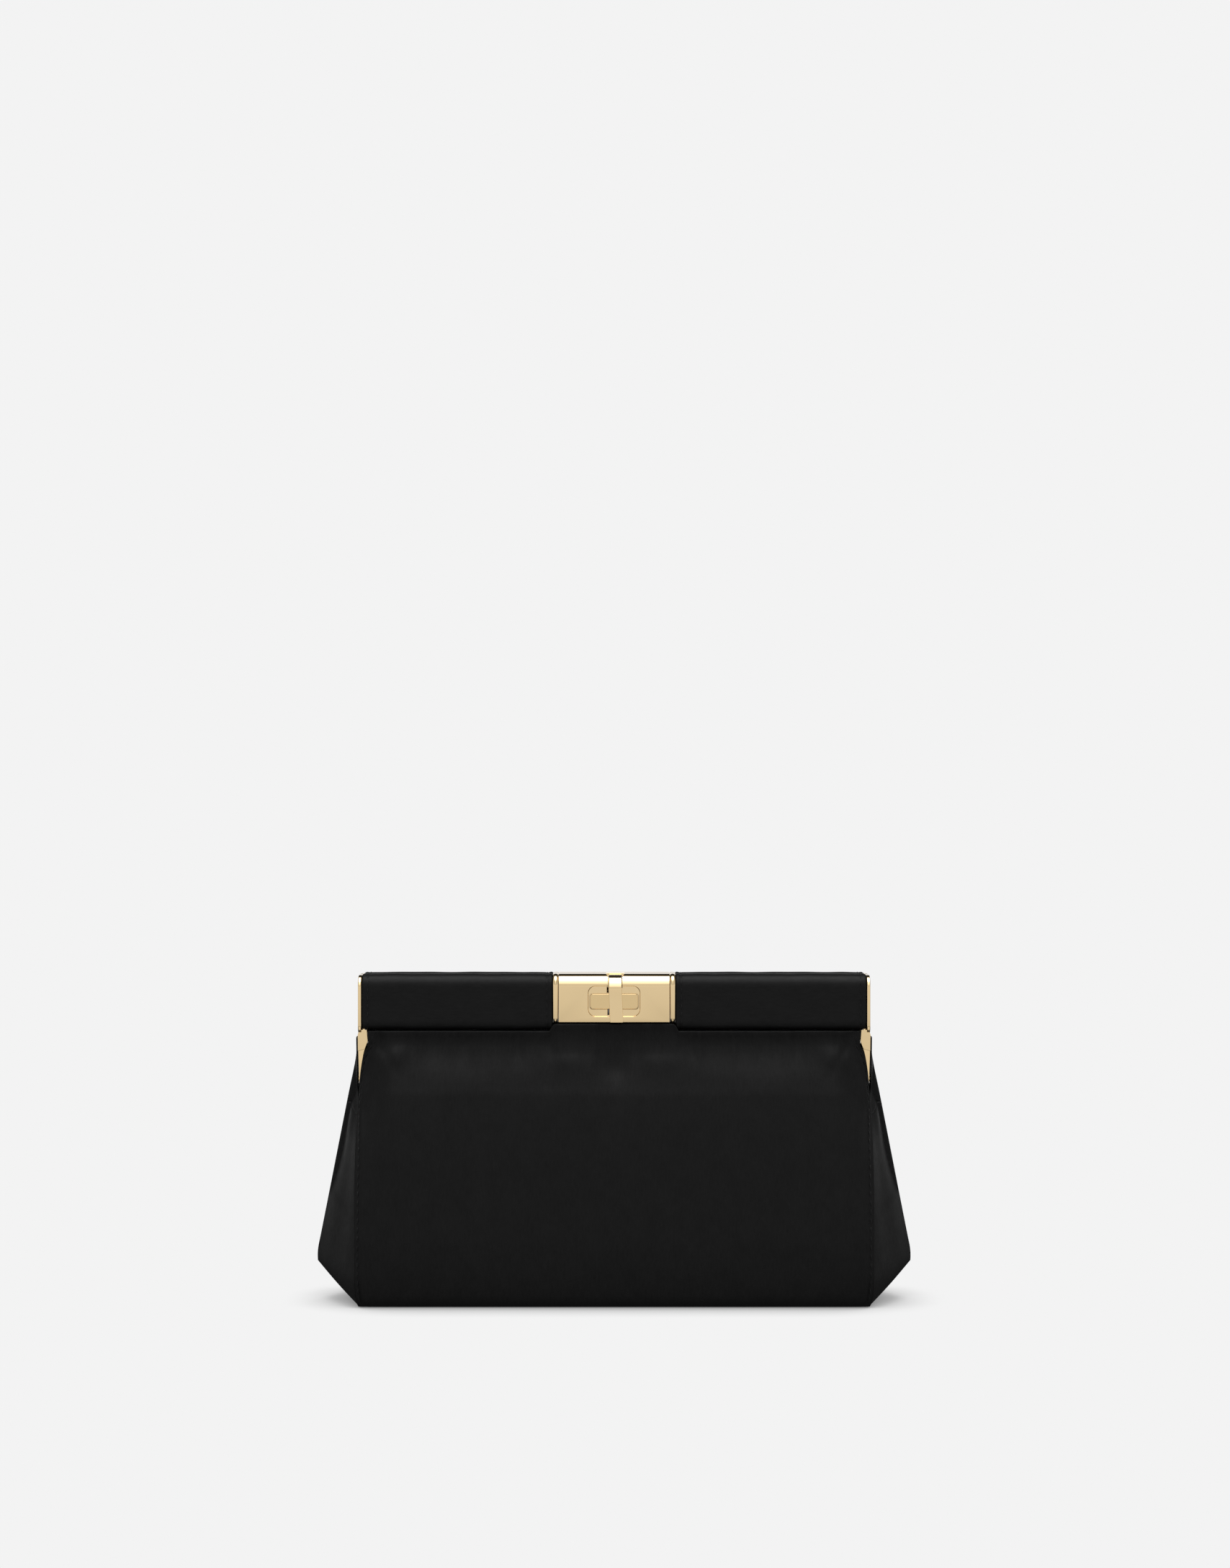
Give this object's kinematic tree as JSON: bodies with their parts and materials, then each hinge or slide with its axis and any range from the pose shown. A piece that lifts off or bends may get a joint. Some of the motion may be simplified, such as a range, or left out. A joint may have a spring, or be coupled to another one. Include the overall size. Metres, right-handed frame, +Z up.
{
  "type": "clutch purse",
  "caption": "Rigid-framed satin evening clutch with padded top rolls, gold centre plate, lift-up clasp strap and outward-folding gussets.",
  "frame": {"origin": "on the floor under the middle of the base", "axes": "+Z up, front with the clasp strap towards -Y, +X to the right seen from the front"},
  "size_m": [0.2716, 0.07, 0.149],
  "materials": {
    "satin": "satin",
    "lining": "matte",
    "board": "matte",
    "foam": "matte",
    "gold": "polished",
    "steel": "satin"
  },
  "bodies": {
    "bag_body": {"base_panel": "satin", "base_board": "board", "front_board": "board", "back_board": "board", "lining": "lining", "slip_pocket": "lining", "front_panel": "satin", "back_panel": "satin", "gusset_left": "satin", "gusset_right": "satin", "hinge_rivet_left": "gold", "hinge_rivet_right": "gold"},
    "front_leaf": {"frame_bar_front": "steel", "clasp_plate_front": "gold", "roll_sleeve_front_left": "satin", "roll_sleeve_front_right": "satin", "roll_core_front_left": "foam", "roll_core_front_right": "foam", "closing_magnet_front_left": "steel", "closing_magnet_front_right": "steel", "plate_screw_front_left": "steel", "plate_screw_front_right": "steel", "collar_front_left": "gold", "collar_front_right": "gold", "end_cap_front_left": "gold", "end_cap_front_right": "gold", "hinge_arm_front_left": "gold", "hinge_arm_front_right": "gold", "catch_pad": "gold", "catch_magnet": "steel", "lever_pin": "steel"},
    "back_leaf": {"frame_bar_back": "steel", "clasp_plate_back": "gold", "roll_sleeve_back_left": "satin", "roll_sleeve_back_right": "satin", "roll_core_back_left": "foam", "roll_core_back_right": "foam", "closing_magnet_back_left": "steel", "closing_magnet_back_right": "steel", "plate_screw_back_left": "steel", "plate_screw_back_right": "steel", "collar_back_left": "gold", "collar_back_right": "gold", "end_cap_back_left": "gold", "end_cap_back_right": "gold", "hinge_arm_back_left": "gold", "hinge_arm_back_right": "gold", "catch_tongue": "steel"},
    "clasp_strap": {"clasp_lever": "gold"}
  },
  "joints": [
    {"name": "front_leaf_hinge", "type": "hinge", "parent": "bag_body", "child": "front_leaf", "pos_m": [0, 0, 0.1005], "axis": [1, 0, 0], "range_deg": [0, 40], "deforming": ["front_panel", "gusset_left", "gusset_right"]},
    {"name": "back_leaf_hinge", "type": "hinge", "parent": "bag_body", "child": "back_leaf", "pos_m": [0, 0, 0.1005], "axis": [-1, 0, 0], "range_deg": [0, 40], "deforming": ["back_panel", "gusset_left", "gusset_right"]},
    {"name": "clasp_strap_hinge", "type": "hinge", "parent": "front_leaf", "child": "clasp_strap", "pos_m": [0.0005, -0.0054, 0.1469], "axis": [-1, 0, 0], "range_deg": [0, 95]}
  ],
  "couplings": [
    {"joint": "back_leaf_hinge", "follows": "front_leaf_hinge", "ratio": 1}
  ]
}
